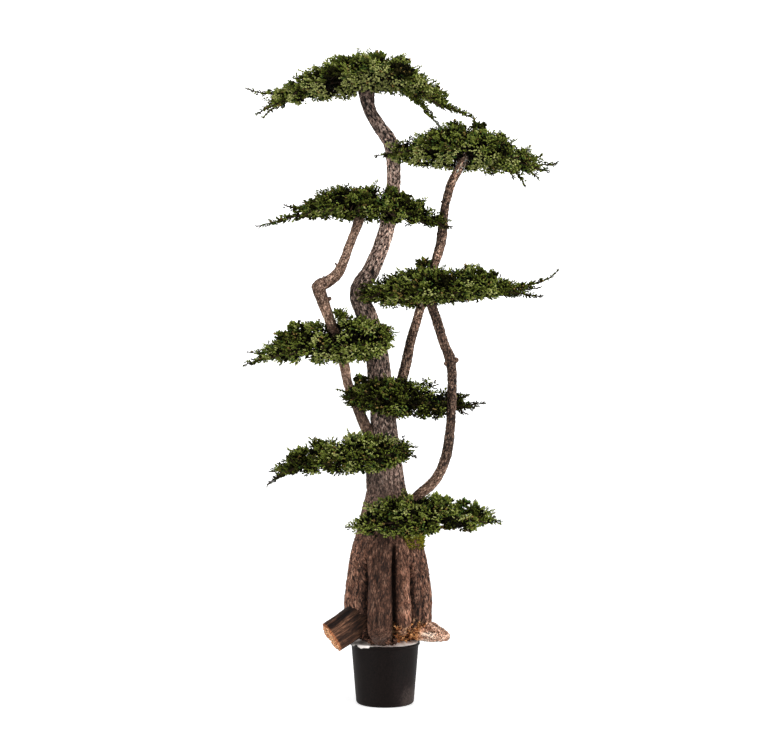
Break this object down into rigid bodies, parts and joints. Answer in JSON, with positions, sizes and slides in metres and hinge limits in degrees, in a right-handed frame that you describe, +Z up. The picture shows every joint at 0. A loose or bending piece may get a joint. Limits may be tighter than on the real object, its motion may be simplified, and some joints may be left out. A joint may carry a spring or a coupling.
{
  "type": "potted juniper bonsai",
  "caption": "Tall juniper bonsai with a bent trunk on root columns, curved boughs and flat foliage pads, standing in a round plastic pot filled with plaster.",
  "frame": {"origin": "centre of the pot's flat underside", "axes": "+Z up from the floor, -Y towards the viewer of the picture, +X to the viewer's right"},
  "size_m": [0.9467, 0.4468, 1.9829],
  "materials": {
    "pot": "matte black, lightly scuffed",
    "plaster": "rough, matte",
    "bark": "rough bark",
    "root_wood": "weathered wood, sawn end",
    "foliage": "soft juniper sprays"
  },
  "bodies": {
    "root": {"pot": "pot", "pot_filling": "plaster", "trunk": "bark", "bough_left_lower": "bark", "bough_left_upper": "bark", "bough_right_inner": "bark", "bough_right_lower": "bark", "bough_right_upper": "bark", "root_left": "root_wood", "root_right": "root_wood", "foliage_top": "foliage", "foliage_upper_right": "foliage", "foliage_upper_left": "foliage", "foliage_middle_right": "foliage", "foliage_middle_left": "foliage", "foliage_centre": "foliage", "foliage_lower_left": "foliage", "foliage_lower_right": "foliage"}
  },
  "joints": []
}
